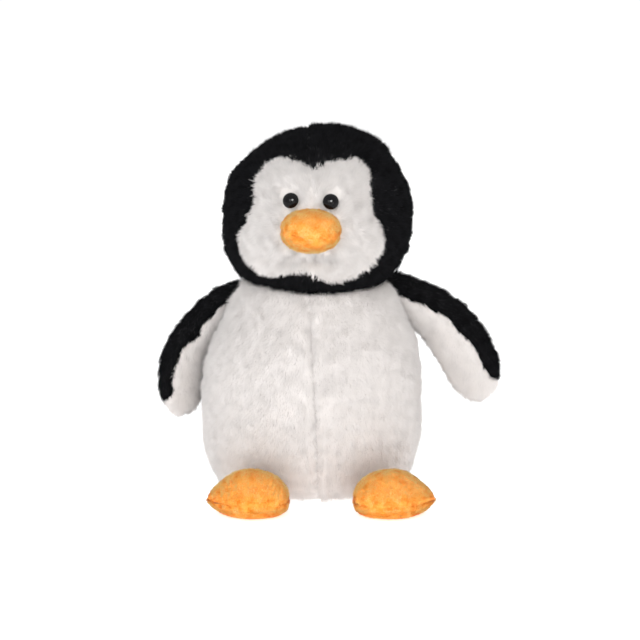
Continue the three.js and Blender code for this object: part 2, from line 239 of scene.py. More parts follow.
def finer(form):
    """One round of subdivision."""
    piece = mesh_of("finer", form.points, form.faces)
    modifier = piece.modifiers.new("finer", "SUBSURF")
    modifier.levels = 1
    return form_of(piece)


def sew(form, seams):
    """Pulls the cloth in along each seam, with a small pucker every few millimetres.

    A seam is a field that is 0 along it, and its depth: a number, or a function of the place.
    """
    out = form.out()
    sink = np.zeros(len(form.points))
    for k, (field, depth) in enumerate(seams):
        near = np.exp(-((field(form.points) / SEAM_WIDTH) ** 2))
        pucker = 1 + SEAM_PUCKER * Ripple(40 + k, 7.0)(form.points)
        deep = depth(form.points) if callable(depth) else depth
        sink = np.maximum(sink, deep * near * pucker)
    form.points = form.points - out * sink[:, None]
    return form


def slope(field, p, step=0.2):
    """Which way a field grows fastest at each point, and how fast."""
    return np.stack(
        [(field(p + step * axis) - field(p - step * axis)) / (2 * step) for axis in np.eye(3)], axis=1
    )


def settle_on_seams(form, fields, reach=1.2):
    """Slides points that lie beside a seam along the cloth onto it, so that the panels part cleanly there."""
    out = form.out()
    taken = np.zeros(len(form.points), bool)
    for field in fields:
        value = field(form.points)
        near = (np.abs(value) < 2 * reach) & ~taken
        p, n, v = form.points[near], out[near], value[near]
        grow = slope(field, p)
        grow -= n * np.sum(grow * n, axis=1, keepdims=True)
        steep = np.sum(grow * grow, axis=1)
        step = -grow * (v / np.maximum(steep, 0.05))[:, None]
        short = np.linalg.norm(step, axis=1) < reach
        p[short] += step[short]
        form.points[near] = p
        taken[np.flatnonzero(near)[short]] = True
    return form


def panels_of(form, names, which):
    """Parts a form into named panels. which(points) gives each face's panel by its middle."""
    middles = np.array([form.points[list(f)].mean(axis=0) for f in form.faces])
    labels = which(middles)
    out = form.out()
    panels = {}
    for k, name in enumerate(names):
        faces = [form.faces[i] for i in np.flatnonzero(labels == k)]
        used = sorted({v for f in faces for v in f})
        new = {v: i for i, v in enumerate(used)}
        panel = Form.__new__(Form)
        panel.points = form.points[used]
        panel.faces = [tuple(new[v] for v in f) for f in faces]
        panel.normals = out[used]
        panels[name] = panel
    return panels


# ---- Finishes ------------------------------------------------------------------------------------------
class Wire:
    """A socket that can be used in sums."""

    def __init__(self, finish, socket):
        self.finish = finish
        self.socket = socket

    def sum(self, operation, *values):
        return self.finish.node("ShaderNodeMath", {"operation": operation}, dict(enumerate(values)))

    def __add__(self, other):
        return self.sum("ADD", self, other)

    def __mul__(self, other):
        return self.sum("MULTIPLY", self, other)

    __radd__ = __add__
    __rmul__ = __mul__


class Finish:
    """A material and the nodes in it."""

    def __init__(self, name):
        self.material = bpy.data.materials.new(name)
        self.material.use_nodes = True
        self.tree = self.material.node_tree
        self.tree.nodes.clear()

    def node(self, kind, settings=None, values=None, out=0):
        made = self.tree.nodes.new(kind)
        for key, value in (settings or {}).items():
            if key == "stops":
                ramp = made.color_ramp
                while len(ramp.elements) < len(value):
                    ramp.elements.new(1.0)
                for element, (place, colour) in zip(ramp.elements, value):
                    element.position = place
                    element.color = colour
            else:
                setattr(made, key, value)
        for key, value in (values or {}).items():
            if isinstance(value, Wire):
                self.tree.links.new(value.socket, made.inputs[key])
            else:
                made.inputs[key].default_value = value
        return Wire(self, made.outputs[out]) if len(made.outputs) else None

    def place(self):
        return self.node("ShaderNodeTexCoord", out="Object")

    def noise(self, scale, detail=3.0, roughness=0.55, place=None):
        values = {"Vector": place or self.place(), "Scale": scale, "Detail": detail, "Roughness": roughness}
        return self.node("ShaderNodeTexNoise", values=values)

    def ramp(self, factor, low, high):
        stops = [(low, (0, 0, 0, 1)), (high, (1, 1, 1, 1))]
        return self.node("ShaderNodeValToRGB", {"stops": stops}, {"Fac": factor})

    def mix(self, factor, a, b):
        settings = {"data_type": "RGBA"}
        return self.node("ShaderNodeMix", settings, {0: factor, 6: a, 7: b}, out=2)

    def bump(self, height, distance, strength=1.0):
        values = {"Height": height, "Distance": distance, "Strength": strength}
        return self.node("ShaderNodeBump", values=values)

    def surface(self, **values):
        """The finished material, with the shader's sockets given by name: base_color for Base Color."""
        sockets = {key.replace("_", " ").title().replace("Ior", "IOR"): v for key, v in values.items()}
        shader = self.node("ShaderNodeBsdfPrincipled", values=sockets)
        self.node("ShaderNodeOutputMaterial", values={"Surface": shader})
        return self.material


def colour(red, green, blue):
    return (red, green, blue, 1.0)


def lighter(tint, amount):
    """The same tint scaled in brightness."""
    return colour(*(min(1.0, c * amount) for c in tint[:3]))


# Fibre, from its deepest shade to its lightest: dyed, except the face's, which is the white fibre with
# painted shade.
BLACK_DYE = colour(0.0066, 0.0067, 0.0076)
WHITE_DYE = colour(0.90, 0.862, 0.84)
BLACK_FIBRES = [lighter(BLACK_DYE, amount) for amount in (0.6, 0.85, 1.0, 1.2, 1.5)]
WHITE_FIBRES = [lighter(WHITE_DYE, amount) for amount in (0.91, 0.955, 0.99, 1.02, 1.045)]
# Painted shade: the white fibre darkened over the whole face patch.
SHADED_FACE_FIBRES = [lighter(tint, 0.88) for tint in WHITE_FIBRES]
ORANGE_FIBRES = [
    colour(0.90, 0.22, 0.005),
    colour(0.97, 0.37, 0.03),
    colour(1.0, 0.51, 0.10),
    colour(1.0, 0.59, 0.16),
    colour(1.0, 0.66, 0.22),
]


def backing_cloth(name, tint, contrast, sheen=0.3):
    """The knitted cloth that the pile is set in."""
    f = Finish(name)
    patches = f.noise(70, 4)
    knitted = {"Vector": f.place(), "Scale": 500.0, "Distortion": 3.0}
    rows = f.node("ShaderNodeTexWave", {"bands_direction": "Z"}, knitted)
    tone = f.mix(f.ramp(patches, 0.35, 0.65), lighter(tint, 1 - contrast), tint)
    shade = f.mix(rows * 0.35, tone, lighter(tint, 1 - 2 * contrast))
    fuzz = f.noise(1400, 2)
    normal = f.bump(rows * 0.5 + fuzz, 0.0004)
    roughness = patches * 0.1 + 0.85
    return f.surface(
        base_color=shade,
        roughness=roughness,
        normal=normal,
        sheen_weight=sheen,
        sheen_roughness=0.5,
    )


def short_plush(name):
    """Dense short plush: patches of deeper and lighter orange painted in for brushed nap that catches the
    light one way or the other (painted sheen and shade), over a fine nap.
    """
    f = Finish(name)
    patches = f.noise(95, 4, 0.6)
    flecks = f.noise(900, 3, 0.7)
    # Painted sheen and shade: noise patches of deeper and lighter orange stand in for the nap catching the
    # light.
    brushed = f.mix(f.ramp(patches, 0.34, 0.66), ORANGE_FIBRES[0], ORANGE_FIBRES[1])
    shade = f.mix(f.ramp(flecks, 0.45, 0.75), brushed, ORANGE_FIBRES[2])
    nap = f.noise(2200, 2, 0.6)
    normal = f.bump(nap + patches * 1.5, 0.0006, 0.8)
    roughness = flecks * 0.15 + 0.75
    return f.surface(
        base_color=shade,
        roughness=roughness,
        normal=normal,
        sheen_weight=0.35,
        sheen_roughness=0.4,
        sheen_tint=colour(1.0, 0.72, 0.42),
    )


def eye_plastic():
    """Polished black plastic with the faint cloudiness of a moulding."""
    f = Finish("eye_plastic")
    cloud = f.noise(260, 3)
    scratches = f.noise(2600, 4, 0.7)
    shade = f.mix(cloud, colour(0.002, 0.002, 0.0025), colour(0.006, 0.0055, 0.006))
    roughness = f.ramp(scratches, 0.5, 1.0) * 0.08 + 0.04
    return f.surface(
        base_color=shade,
        roughness=roughness,
        specular_ior_level=0.1,
        coat_weight=0.05,
        coat_roughness=0.03,
    )


def moulded_plastic(name, tint):
    """Plain moulded plastic with a fine grain."""
    f = Finish(name)
    cloud = f.noise(120, 5, 0.7)
    grain = f.noise(2000, 4, 0.8)
    shade = f.mix(cloud, lighter(tint, 0.8), tint)
    normal = f.bump(cloud * 2.0 + grain, 0.001)
    return f.surface(base_color=shade, roughness=grain * 0.1 + 0.88, normal=normal, sheen_weight=0.3)


def fibre(name, tint, sheen, specular):
    return Finish(name).surface(
        base_color=tint,
        roughness=0.85,
        specular_ior_level=specular,
        sheen_weight=sheen,
        sheen_roughness=0.5,
    )


def pile_shades(name, tints, sheen, specular=0.08):
    """Dyed fibre, in a few shades that lie side by side through the pile."""
    return [fibre(f"{name}_{k + 1}", tint, sheen, specular) for k, tint in enumerate(tints)]


CLOTHS = {
    "black": backing_cloth("black_backing", colour(0.006, 0.006, 0.007), 0.2, sheen=0.01),
    "white": backing_cloth("white_backing", colour(0.80, 0.76, 0.735), 0.05),
    "orange": short_plush("orange_plush"),
}
PILES = {
    "black": pile_shades("black_fibre", BLACK_FIBRES, 0.0, specular=0.02),
    "white": pile_shades("white_fibre", WHITE_FIBRES, 0.2),
    "face": pile_shades("face_fibre", SHADED_FACE_FIBRES, 0.2),
    "orange": pile_shades("orange_fibre", ORANGE_FIBRES, 0.3),
}
EYE_PLASTIC = eye_plastic()


# ---- Pile ----------------------------------------------------------------------------------------------
class Groom:
    """How the pile of a panel lies."""

    def __init__(self, density, length, width, lean, curl=0.35, scatter=0.28, painted_seam_shade=0.0, tone=0.5):
        self.density = density  # locks to a square millimetre
        self.length = length
        self.width = width
        self.lean = lean  # how far it is brushed over
        self.curl = curl  # how far neighbouring locks turn together
        self.scatter = scatter  # how far each lock turns on its own
        self.painted_seam_shade = painted_seam_shade  # how much painted shade it takes near a seam: the locks there get its deeper shades
        self.tone = tone  # where most locks lie between its deepest shade and its lightest


LONG = Groom(
    density=3.6, length=6.2, width=0.27, lean=1.15, curl=0.25, scatter=0.34, painted_seam_shade=0.2, tone=0.75
)
FACE = Groom(density=3.6, length=6.4, width=0.27, lean=1.1, curl=0.5, scatter=0.34, painted_seam_shade=0.2)
HOOD = Groom(density=2.3, length=6.2, width=0.36, lean=1.15, tone=0.7)
SHORT = Groom(density=7.0, length=2.1, width=0.17, lean=0.9, curl=0.3, painted_seam_shade=0.95, tone=0.68)
BEAK = Groom(density=7.0, length=2.1, width=0.17, lean=0.9, curl=0.3, painted_seam_shade=0.4, tone=0.66)

# A lock is a closed spike with its flat side out: left, right and heel at the root, and the tip.
LOCK = ((0, 1, 3), (1, 2, 3), (2, 0, 3))
SOFTNESS = 0.65  # how far a lock is lit as the cloth under it is
ROOT_DEPTH = 0.4  # how deep a lock is set in the cloth
CLIPPED = 0.45  # the share of its length that a lock keeps at a seam
CLIPPED_REACH = 4.5  # how far from a seam the locks are clipped, and over how far painted seam shade gives them deeper shades
UNEVEN_TONE = 0.18  # how far the shade varies over the pile, and again from lock to lock
OFF_FLOOR = 0.3


def pile_piece(name, panel, groom, shades, lie, seam_gap, seed):
    """Locks of fibre over a panel.

    lie(points) is the way the pile is brushed, and seam_gap(points) is how far each root is from a seam.
    """
    rng = np.random.default_rng(seed)
    tri = panel.triangles()
    corner = panel.points[tri]
    edges = corner[:, 1:] - corner[:, :1]
    area = np.linalg.norm(np.cross(edges[:, 0], edges[:, 1]), axis=1) / 2
    count = int(area.sum() * groom.density)
    pick = rng.choice(len(tri), size=count, p=area / area.sum())
    a, b = rng.random(count), rng.random(count)
    over = a + b > 1
    a[over], b[over] = 1 - a[over], 1 - b[over]
    share = np.stack([1 - a - b, a, b], axis=1)[:, :, None]
    root = (corner[pick] * share).sum(axis=1)
    out = unit((panel.normals[tri[pick]] * share).sum(axis=1))

    gap = seam_gap(root)
    keep = rng.random(count) < smooth(gap, -0.4, 0.9)
    root, out, gap = root[keep], out[keep], gap[keep]
    count = len(root)

    clump = Ripple(seed + 1, groom.length * 1.3, 3)(root)
    wander = Ripple(seed + 2, groom.length * 5, 3)(root)
    brushed = lie(root)
    brushed = unit(brushed - out * np.sum(brushed * out, axis=1, keepdims=True) + 1e-6)
    way = groom.curl * (0.8 * clump + 0.45 * wander)
    rise = unit(out + brushed * groom.lean + way + groom.scatter * rng.normal(size=(count, 3)))
    short = CLIPPED + (1 - CLIPPED) * smooth(gap, 0.0, CLIPPED_REACH)
    length = groom.length * short * rng.uniform(0.7, 1.12, count)
    length = length * (1 + 0.1 * Ripple(seed + 3, groom.length * 2)(root))
    width = (groom.width * rng.uniform(0.7, 1.3, count))[:, None]
    across = unit(np.cross(rise, out) + 0.3 * rng.normal(size=(count, 3)))
    across = unit(across - rise * np.sum(across * rise, axis=1, keepdims=True))
    facing = np.cross(across, rise)
    low = root - out * ROOT_DEPTH
    tip = low + rise * length[:, None]
    points = np.stack([low - across * width, low + across * width, low - facing * width, tip], axis=1)
    points[:, :, 2] = np.maximum(points[:, :, 2], OFF_FLOOR)
    sides = np.stack([-across, across, -facing, rise], axis=1)
    lit = unit(out[:, None] * SOFTNESS + sides * (1 - SOFTNESS))

    per_lock = points.shape[1]
    corners = np.array(LOCK).ravel()
    loops = (corners[None] + per_lock * np.arange(count)[:, None]).ravel()
    starts = np.arange(count * len(LOCK)) * 3
    tone = groom.tone + UNEVEN_TONE * Ripple(seed + 4, 7.5)(root) + UNEVEN_TONE * rng.normal(size=count)
    # Painted shade: near a seam, and wherever else the panel's seam gap is small (round the beak and eyes,
    # under the head, by the floor), locks take deeper shades, in patches.
    painted_shade_patches = 0.7 + 0.5 * Ripple(seed + 5, 6.0)(root)
    tone = tone - groom.painted_seam_shade * painted_shade_patches * np.exp(-((gap / CLIPPED_REACH) ** 2))
    shade = np.clip((tone * len(shades)).astype(int), 0, len(shades) - 1)

    mesh = bpy.data.meshes.new(name)
    mesh.vertices.add(count * per_lock)
    mesh.vertices.foreach_set("co", (points * MM).astype(np.float32).ravel())
    mesh.loops.add(len(loops))
    mesh.loops.foreach_set("vertex_index", loops.astype(np.int32))
    mesh.polygons.add(len(starts))
    mesh.polygons.foreach_set("loop_start", starts.astype(np.int32))
    for material in shades:
        mesh.materials.append(material)
    mesh.polygons.foreach_set("material_index", np.repeat(shade, len(LOCK)).astype(np.int32))
    mesh.polygons.foreach_set("use_smooth", np.ones(len(starts), bool))
    mesh.update(calc_edges=True)
    mesh.normals_split_custom_set_from_vertices(lit.reshape(-1, 3).tolist())
    piece = bpy.data.objects.new(name, mesh)
    bpy.context.scene.collection.objects.link(piece)
    return piece


# ---- Putting pieces on the frame -----------------------------------------------------------------------
class Joinery:
    """How a limb's pieces hang on: parented to their own body, or, when a start is given, left in place where
    they were made.
    """

    def __init__(self, body, start=None, end=None):
        self.body = body
        self.start = start
        self.end = end

    def hang(self, piece):
        if self.start is None:
            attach(piece, self.body)
        else:
            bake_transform(piece)


def soft_panel(name, panel, kind, joinery, replaced, groom=None, lie=None, seam_gap=None, seed=0):
    """One panel of cloth with its pile, which takes the place of the CAD solids in replaced."""
    cloth = mesh_of(name, panel.points, panel.faces)
    cloth.data.materials.append(CLOTHS[kind])
    cloth.data.polygons.foreach_set("use_smooth", np.ones(len(panel.faces), bool))
    joinery.hang(cloth)
    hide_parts(*replaced)
    if groom:
        # The face takes the white fibre with painted shade.
        shades = PILES["face" if groom is FACE else kind]
        pile = pile_piece(f"{name}_pile", panel, groom, shades, lie, seam_gap, seed)
        joinery.hang(pile)


# ---- Head ----------------------------------------------------------------------------------------------
HEAD_BOX = Box("hood_panel_left", "hood_panel_right", "face_panel_left", "face_panel_right")
HEAD_WIDEST = 0.443  # how high the head is widest, as a share of its height
HEAD_HALF = np.array([HEAD_BOX.size[0] / 2, HEAD_BOX.size[1] / 2, HEAD_BOX.size[2] * HEAD_WIDEST])
HEAD_TOP_HALF = HEAD_BOX.size[2] * (1 - HEAD_WIDEST)
HEAD_MIDDLE = np.array([HEAD_BOX.middle[0], HEAD_BOX.middle[1], HEAD_BOX.low[2] + HEAD_HALF[2]])
BEAK_BOX = Box("beak_upper", "beak_lower")
EYE_BOXES = {side: Box(f"eye_{side}") for side in ("left", "right")}

# The white face patch from the front, as shares of the head's half width and half height from its middle.
FACE_OUTLINE = np.array(
    [
        (-0.025, 0.565),  # peak between the brows
        (0.13, 0.635),
        (0.31, 0.665),  # left brow
        (0.42, 0.63),
        (0.495, 0.51),
        (0.51, 0.385),
        (0.505, 0.245),  # left temple
        (0.555, 0.08),
        (0.635, -0.14),  # left cheek
        (0.625, -0.34),
        (0.53, -0.52),
        (0.40, -0.62),
        (0.17, -0.70),  # left jowl
        (-0.02, -0.63),
        (-0.14, -0.56),  # notch under the chin
        (-0.27, -0.59),
        (-0.42, -0.64),
        (-0.55, -0.62),  # right jowl
        (-0.66, -0.54),
        (-0.75, -0.37),
        (-0.78, -0.155),  # right cheek
        (-0.68, 0.09),
        (-0.61, 0.25),  # right temple
        (-0.63, 0.40),
        (-0.58, 0.51),
        (-0.48, 0.61),
        (-0.35, 0.665),  # right brow
        (-0.20, 0.63),
    ]
)
HEAD_INSET = LONG_PILE * 0.95  # how deep the cloth lies inside the head's room, so that the pile fills it
CROWN_LEAN = 0.09  # how far the seam down the head leans, across per up


def head_halves(z):
    return np.where(z > 0, HEAD_TOP_HALF, HEAD_HALF[2])


def head_fullness(z):
    """2 is an ellipse and more is squarer: the crown is narrow and the jaw is wide."""
    return np.where(z > 0, 1.95, 2.9)


def face_rim():
    looped = np.vstack([FACE_OUTLINE[-1:], FACE_OUTLINE, FACE_OUTLINE[:2]])
    steps = np.arange(0, len(FACE_OUTLINE) * 8)
    places = curve(looped, (1 + steps / 8) / (len(looped) - 1))
    height = np.where(places[:, 1] > 0, HEAD_TOP_HALF, HEAD_HALF[2])
    return places * np.stack([np.full(len(places), HEAD_HALF[0]), height], axis=1)


FACE_RIM = face_rim()


def outside_face(p):
    """How far a point is outside the face patch, less than 0 inside it."""
    flat = (p - HEAD_MIDDLE)[:, [0, 2]]
    a = FACE_RIM
    b = np.roll(FACE_RIM, -1, axis=0)
    span = b - a
    inside = np.zeros(len(flat), bool)
    nearest = np.full(len(flat), 1e9)
    for start, run, end in zip(a, span, b):
        off = flat - start
        t = np.clip(off @ run / (run @ run), 0, 1)
        nearest = np.minimum(nearest, np.linalg.norm(off - t[:, None] * run, axis=1))
        crosses = (start[1] > flat[:, 1]) != (end[1] > flat[:, 1])
        at = start[0] + (flat[:, 1] - start[1]) * run[0] / (run[1] if abs(run[1]) > 1e-9 else 1e-9)
        inside ^= crosses & (flat[:, 0] < at)
    signed = np.where(inside, -nearest, nearest)
    behind = p[:, 1] - HEAD_MIDDLE[1] + 8
    return np.where(behind > 0, np.maximum(signed, behind), signed)


def off_crown_seam(p):
    """How far a point is to the left of the seam that runs down the middle of the head."""
    q = p - HEAD_MIDDLE
    return q[:, 0] + 0.045 * HEAD_HALF[0] + CROWN_LEAN * q[:, 2] * 0.6


def crown_seam_depth(p):
    """The seam is deepest under the beak, where the chin is gathered."""
    chin = smooth(BEAK_BOX.middle[2] - p[:, 2], 5, 20) * smooth(-outside_face(p), 0, 3)
    return 0.5 + 0.9 * chin


def head_shape(share, angle):
    polar = math.pi * share
    direction = np.stack(
        [np.sin(polar) * np.cos(angle), np.sin(polar) * np.sin(angle), -np.cos(polar)], axis=1
    )
    power = head_fullness(direction[:, 2])
    round_up = np.hypot(direction[:, 0], direction[:, 1])
    full = (round_up**power + np.abs(direction[:, 2]) ** power) ** (-1 / power)
    q = direction * full[:, None]
    z = q[:, 2] * (head_halves(q[:, 2]) - HEAD_INSET)
    lean = np.maximum(z, 0) * 0.03
    x = q[:, 0] * (HEAD_HALF[0] - HEAD_INSET) + lean
    y = q[:, 1] * (HEAD_HALF[1] - HEAD_INSET)
    return np.stack([x, y, z], axis=1) + HEAD_MIDDLE


def head_features(form):
    """Cheeks, brows and chin of the stuffed face, and the fuller and flatter parts of the hood."""
    p = form.points
    out = form.out()
    front = smooth(HEAD_MIDDLE[1] - p[:, 1], 10, 45)
    w, h = HEAD_HALF[0], HEAD_HALF[2]
    q = (p - HEAD_MIDDLE) * [1, 0, 1]
    swell = 3.6 * bump_at(q, (0.42 * w, 0, -0.28 * h), (24, 1e3, 20))
    swell += 4.2 * bump_at(q, (-0.46 * w, 0, -0.26 * h), (24, 1e3, 20))
    swell += 1.8 * bump_at(q, (0.28 * w, 0, 0.62 * h), (20, 1e3, 16))
    swell += 1.8 * bump_at(q, (-0.32 * w, 0, 0.62 * h), (20, 1e3, 16))
    for box in EYE_BOXES.values():
        q_eye = (box.middle - HEAD_MIDDLE) * [1, 0, 1]
        swell -= 2.0 * bump_at(q, q_eye, (10, 1e3, 9))
    mouth = BEAK_BOX.low[2] - HEAD_MIDDLE[2] - 6
    swell -= 4.2 * bump_at(q, (-4, 0, mouth), (34, 1e3, 4.5))
    swell += 1.8 * bump_at(q, (0, 0, mouth - 14), (20, 1e3, 8))
    form.points = p + out * (swell * front)[:, None]
    hood = 3.5 * bump_at(q, (0.5 * w, 0, 0.95 * h), (26, 1e3, 22))
    hood += 3.2 * bump_at(q, (-0.85 * w, 0, 0.55 * h), (24, 1e3, 18))
    hood -= 3.5 * bump_at(q, (0.9 * w, 0, -0.62 * h), (26, 1e3, 22))
    form.points = form.points + out * hood[:, None]
    return form


def head_lie(p):
    """The face is brushed away from the beak and down at its rim, and the hood is brushed back."""
    q = p - HEAD_MIDDLE
    from_beak = (p - np.array([BEAK_BOX.middle[0], p[:, 1].min(), BEAK_BOX.middle[2]])) * [1, 0, 1]
    at_rim = smooth(outside_face(p), -12, 0)[:, None]
    face = unit(from_beak + 1e-6) * (1 - 0.8 * at_rim) + np.array([0, 0.2, -0.25])
    side = 0.3 * q[:, 0] / HEAD_HALF[0]
    hood = np.stack([side, np.ones(len(p)), np.full(len(p), -0.35)], axis=1)
    on_face = smooth(-outside_face(p), -6, 6)[:, None]
    return unit(face) * on_face + unit(hood) * (1 - on_face)


def clear_of_beak(p):
    """How far outside the beak's root a point of the face is."""
    q = (p - BEAK_BOX.middle) * [1, 0, 1] / (BEAK_BOX.size / 2)
    radius = np.linalg.norm(q, axis=1)
    gap = (radius - 0.9) * BEAK_BOX.size[2] / 2
    return np.where(p[:, 1] < HEAD_MIDDLE[1], gap, FAR)


def clear_of_eyes(p):
    gaps = []
    for box in EYE_BOXES.values():
        radius = np.linalg.norm((p - box.middle) * [1, 0, 1], axis=1)
        gaps.append(np.where(p[:, 1] < HEAD_MIDDLE[1], radius - 5.2, FAR))
    return np.minimum(*gaps)


def make_head():
    form = ringed(44, 84, head_shape)
    held = 0.9 * np.exp(-((outside_face(form.points) / 5) ** 2))
    held = np.maximum(held, smooth(HEAD_MIDDLE[2] - 45 - form.points[:, 2], 0, 6))
    form = finer(stuffed(form, held, most=3.0))
    form = head_features(form)
    fields = (outside_face, off_crown_seam)
    form = settle_on_seams(form, fields)
    form = sew(form, [(outside_face, 1.6), (off_crown_seam, crown_seam_depth)])

    def which(p):
        return 2 * (outside_face(p) > 0) + (off_crown_seam(p) < 0)

    names = ("face_panel_left", "face_panel_right", "hood_panel_left", "hood_panel_right")
    panels = panels_of(form, [f"soft_{n}" for n in names], which)

    def gap(p):
        rim = np.abs(outside_face(p)) + 1.8
        middle = np.abs(off_crown_seam(p)) + 0.8
        return np.min([rim, middle, clear_of_beak(p), clear_of_eyes(p)], axis=0)

    joinery = Joinery("head")
    for k, (name, panel) in enumerate(panels.items()):
        node = name.removeprefix("soft_")
        kind, groom = ("white", FACE) if node.startswith("face") else ("black", HOOD)
        replaced = [node, "head_stuffing"] if node == "hood_panel_left" else [node]
        seed = 100 + 10 * k
        soft_panel(name, panel, kind, joinery, replaced, groom, head_lie, gap, seed)


# ---- Beak ----------------------------------------------------------------------------------------------
BEAK_HALF_DEPTH = 27.0  # the back of the beak runs into the face
BEAK_FULLNESS = 2.2


def off_beak_seam(p):
    """How far a point is above the seam round the beak."""
    q = p - BEAK_BOX.middle
    return q[:, 2] + 3.2 + 0.085 * q[:, 0] - 0.004 * q[:, 0] ** 2


def beak_shape(share, angle):
    polar = math.pi * share
    direction = np.stack(
        [np.sin(polar) * np.cos(angle), -np.cos(polar), np.sin(polar) * np.sin(angle)], axis=1
    )
    full = (np.abs(direction) ** BEAK_FULLNESS).sum(axis=1) ** (-1 / BEAK_FULLNESS)
    half = np.array([BEAK_BOX.size[0] / 2, BEAK_HALF_DEPTH, BEAK_BOX.size[2] / 2]) - SHORT_PILE
    middle = np.array([BEAK_BOX.middle[0], BEAK_BOX.low[1] + BEAK_HALF_DEPTH, BEAK_BOX.middle[2]])
    return middle + direction * full[:, None] * half


def beak_lie(p):
    q = p - BEAK_BOX.middle
    return unit(np.stack([q[:, 0] * 0.03, np.full(len(p), -1.0), np.full(len(p), -0.3)], axis=1))


def make_beak():
    form = ringed(26, 44, beak_shape)
    held = np.exp(-((off_beak_seam(form.points) / 2.5) ** 2))
    held = np.maximum(held, smooth(form.points[:, 1], BEAK_BOX.high[1] - 4, BEAK_BOX.high[1]))
    form = finer(stuffed(form, held, most=0.8))
    form = settle_on_seams(form, (off_beak_seam,), 0.9)
    form = sew(form, [(off_beak_seam, 0.3)])
    names = ["soft_beak_upper", "soft_beak_lower"]
    panels = panels_of(form, names, lambda p: (off_beak_seam(p) < 0).astype(int))

    def gap(p):
        return np.abs(off_beak_seam(p)) + 1.5

    for k, (name, panel) in enumerate(panels.items()):
        node = name.removeprefix("soft_")
        replaced = [node, "beak_stuffing"] if node == "beak_upper" else [node]
        seed = 200 + 10 * k
        soft_panel(name, panel, "orange", Joinery("head"), replaced, BEAK, beak_lie, gap, seed)


# ---- Eyes ----------------------------------------------------------------------------------------------
EYE_RADIUS = 6.0
EYE_DOME = 4.7  # how high the dome stands on its rim
EYE_SHANK = 2.0  # radius
EYE_SIDES = 48


def turned(profile, sides, base, across, up, outward):
    """A closed form turned about outward. profile: radius and height above the base, from pole to pole."""
    angle = TAU * np.arange(sides) / sides
    rings = [
        base + across * (r * np.cos(angle))[:, None] + up * (r * np.sin(angle))[:, None] + outward * h
        for r, h in profile[1:-1]
    ]
    points = np.vstack(rings + [base + outward * profile[0][1], base + outward * profile[-1][1]])
    n = len(rings)
    faces = []
    for j in range(sides):
        k = (j + 1) % sides
        faces.append((n * sides, k, j))
        faces.append((n * sides + 1, (n - 1) * sides + j, (n - 1) * sides + k))
        for i in range(n - 1):
            faces.append((i * sides + j, i * sides + k, (i + 1) * sides + k, (i + 1) * sides + j))
    return Form(points, faces)


def make_eye(side):
    """A domed safety eye on its shank, turned to face out of the head."""
    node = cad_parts[f"eye_{side}"]
    points = np.array([v.co for v in node.data.vertices], float) / MM
    front = points[np.argmin(points[:, 1])]
    outward = unit((front - HEAD_MIDDLE) / HEAD_HALF**2)
    across = unit(np.cross(outward, [0, 0, 1.0]))
    up = np.cross(across, outward)
    top = front - outward * 0.4
    rim = -EYE_DOME
    profile = [(0.0, -20.0), (EYE_SHANK, -20.0), (EYE_SHANK, rim - 0.9), (EYE_RADIUS * 0.9, rim - 0.9)]
    profile += [(EYE_RADIUS, rim - 0.3), (EYE_RADIUS, rim)]
    for turn in np.linspace(0.12, math.pi / 2, 14)[:-1]:
        profile.append((EYE_RADIUS * math.cos(turn), rim + EYE_DOME * math.sin(turn)))
    profile.append((0.0, rim + EYE_DOME))
    form = turned(profile, EYE_SIDES, top, across, up, outward)
    piece = mesh_of(f"domed_eye_{side}", form.points, form.faces)
    piece.data.polygons.foreach_set("use_smooth", np.ones(len(form.faces), bool))
    piece.data.materials.append(EYE_PLASTIC)
    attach(piece, "head")
    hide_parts(f"eye_{side}")


# ---- Torso ---------------------------------------------------------------------------------------------
TORSO_BOX = Box("belly_panel_left", "belly_panel_right", "back_panel_left", "back_panel_right", "base_panel")
TORSO_HALF = TORSO_BOX.size[0] / 2
TORSO_MIDDLE = TORSO_BOX.middle[0] - 3.0
TORSO_FULLNESS = 2.25
TORSO_INSET = LONG_PILE * 1.1
TORSO_DEPTHS = (-TORSO_BOX.low[1], TORSO_BOX.high[1])  # to the front and to the back
# Half width as a share of the widest, and height as a share of the whole.
TORSO_PROFILE = [
    (0.0, 0.0),
    (0.36, 0.0),
    (0.62, 0.004),
    (0.80, 0.035),
    (0.905, 0.10),
    (0.965, 0.19),
    (0.995, 0.30),
    (1.0, 0.42),
    (0.995, 0.53),
    (0.97, 0.63),
    (0.92, 0.72),
    (0.85, 0.80),
    (0.78, 0.88),
    (0.71, 0.95),
    (0.58, 1.0),
    (0.34, 1.0),
    (0.0, 1.0),
]
BASE_SEAM = 6.0  # how high the seam round the base is
TORSO_FLOOR = 0.6  # how high the base cloth lies


def off_belly_seam(p):
    """How far a point is to the left of the seam down the belly and the back."""
    wander = -1.2 + 0.045 * (0.55 * TORSO_BOX.high[2] - p[:, 2])
    return p[:, 0] - np.where(p[:, 1] < 0, wander, 0)


def off_side_seam(p):
    return p[:, 1] - 5.0 - 2.0 * np.sin(p[:, 2] / 40)


def off_base_seam(p):
    return p[:, 2] - BASE_SEAM


def torso_shape(share, angle):
    spine = even_curve(TORSO_PROFILE, 240)
    at = np.stack([np.interp(share, np.linspace(0, 1, 241), spine[:, k]) for k in range(2)], axis=1)
    radius = np.maximum(at[:, 0] * TORSO_HALF - TORSO_INSET * smooth(at[:, 0], 0, 0.5), 0)
    c, s = np.cos(angle), np.sin(angle)
    full = (np.abs(c) ** TORSO_FULLNESS + np.abs(s) ** TORSO_FULLNESS) ** (-1 / TORSO_FULLNESS)
    deep = np.where(s < 0, TORSO_DEPTHS[0], TORSO_DEPTHS[1]) / TORSO_HALF
    height = TORSO_BOX.high[2]
    z = TORSO_FLOOR + at[:, 1] * (height - TORSO_FLOOR)
    lean = 2.6 * smooth(at[:, 1], 0.45, 0.8)
    return np.stack([TORSO_MIDDLE + lean + radius * full * c, radius * full * s * deep, z], axis=1)


def belly_seam_depth(p):
    """The seam runs out at the base and under the head."""
    return 2.6 * smooth(p[:, 2], 6, 30) * (1 - 0.5 * smooth(p[:, 2], 130, 150))


